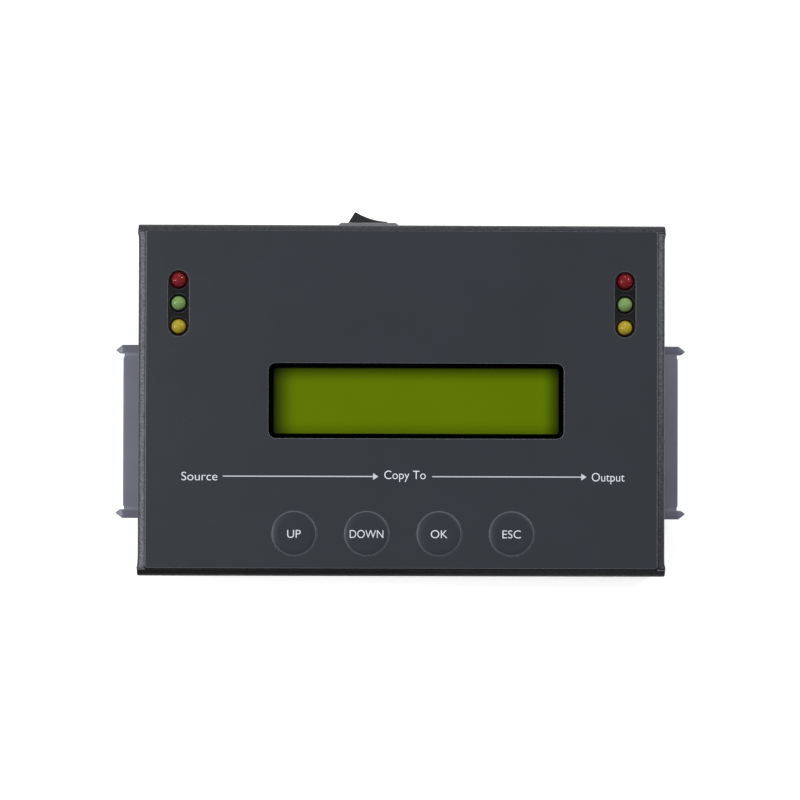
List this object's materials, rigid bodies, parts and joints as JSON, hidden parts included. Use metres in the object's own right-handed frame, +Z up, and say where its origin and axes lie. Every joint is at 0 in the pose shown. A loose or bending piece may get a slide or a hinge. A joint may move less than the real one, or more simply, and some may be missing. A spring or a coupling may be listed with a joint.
{
  "type": "drive duplicator",
  "caption": "Flat metal-cased drive duplicator with a drive socket in each side, a character display, push keys, indicator lamps, a rocker power switch and a power inlet.",
  "frame": {"origin": "on the table under the middle of the whole outline", "axes": "+X to the right along the long side, +Y to the rear where the switch and power inlet are, +Z up"},
  "size_m": [0.1652, 0.1044, 0.03],
  "materials": {
    "cover_paint": "fine-textured black powder coat",
    "base_paint": "fine-textured black powder coat",
    "film": "satin printed polycarbonate film",
    "key_plastic": "satin",
    "display_frame": "satin black",
    "display_cell": "glossy yellow-green liquid crystal cell",
    "light_guide": "clear acrylic",
    "board_green": "solder-masked laminate",
    "header_black": "moulded nylon",
    "socket_plastic": "moulded blue-grey plastic",
    "contact_gold": "gold-flashed contact",
    "tinned": "tinned",
    "steel": "zinc plated",
    "black_screw": "blackened steel",
    "nickel_brass": "nickel-plated brass",
    "chip_black": "moulded epoxy",
    "can_aluminium": "satin can",
    "ferrite": "sintered ferrite",
    "lens_red": "tinted clear epoxy",
    "lens_green": "tinted clear epoxy",
    "lens_yellow": "tinted clear epoxy",
    "switch_bezel": "satin black nylon",
    "rocker_plastic": "satin black nylon",
    "white_nylon": "moulded nylon",
    "lead_sheath": "soft vinyl",
    "flat_cable": "white film",
    "foot_rubber": "matt rubber"
  },
  "bodies": {
    "housing": {"top_cover": "cover_paint", "base_plate": "base_paint", "rubber_feet": "foot_rubber", "cover_screws": "black_screw", "panel_overlay": "film", "display_bezel": "display_frame", "display_glass": "display_cell", "display_backlight": "light_guide", "display_board": "board_green", "display_header": "header_black", "panel_board": "board_green", "panel_standoffs": "nickel_brass", "panel_screws": "steel", "tact_switches": "header_black", "lamp_spacers": "header_black", "main_board": "board_green", "board_standoffs": "nickel_brass", "board_screws": "steel", "processor": "chip_black", "memory_chip": "chip_black", "flash_chip": "chip_black", "crystal": "tinned", "power_inductors": "ferrite", "capacitors": "can_aluminium", "power_transistors": "chip_black", "switch_housing": "switch_bezel", "switch_terminals": "nickel_brass", "switch_header": "white_nylon", "switch_plug": "white_nylon", "terminal_boot": "white_nylon", "switch_lead": "lead_sheath", "ribbon_cable": "flat_cable", "ribbon_sockets": "white_nylon", "power_jack": "header_black", "power_jack_pin": "nickel_brass", "drive_socket_left": "socket_plastic", "drive_socket_right": "socket_plastic", "socket_contacts_left": "contact_gold", "socket_contacts_right": "contact_gold", "leds_red": "lens_red", "leds_green": "lens_green", "leds_yellow": "lens_yellow"},
    "up_key": {"key_up": "key_plastic", "plunger_up": "header_black"},
    "down_key": {"key_down": "key_plastic", "plunger_down": "header_black"},
    "ok_key": {"key_ok": "key_plastic", "plunger_ok": "header_black"},
    "esc_key": {"key_esc": "key_plastic", "plunger_esc": "header_black"},
    "power_rocker": {"rocker": "rocker_plastic"}
  },
  "joints": [
    {"name": "up_press", "type": "slide", "parent": "housing", "child": "up_key", "axis": [0, 0, -1], "range_m": [0, 0.0004], "stiffness_N_per_m": 3000, "springref_m": -0.0001},
    {"name": "down_press", "type": "slide", "parent": "housing", "child": "down_key", "axis": [0, 0, -1], "range_m": [0, 0.0004], "stiffness_N_per_m": 3000, "springref_m": -0.0001},
    {"name": "ok_press", "type": "slide", "parent": "housing", "child": "ok_key", "axis": [0, 0, -1], "range_m": [0, 0.0004], "stiffness_N_per_m": 3000, "springref_m": -0.0001},
    {"name": "esc_press", "type": "slide", "parent": "housing", "child": "esc_key", "axis": [0, 0, -1], "range_m": [0, 0.0004], "stiffness_N_per_m": 3000, "springref_m": -0.0001},
    {"name": "rocker_tilt", "type": "hinge", "parent": "housing", "child": "power_rocker", "pos_m": [-0.0096, 0.04796, 0.014], "axis": [0, 0, 1], "range_deg": [0, 34]}
  ]
}
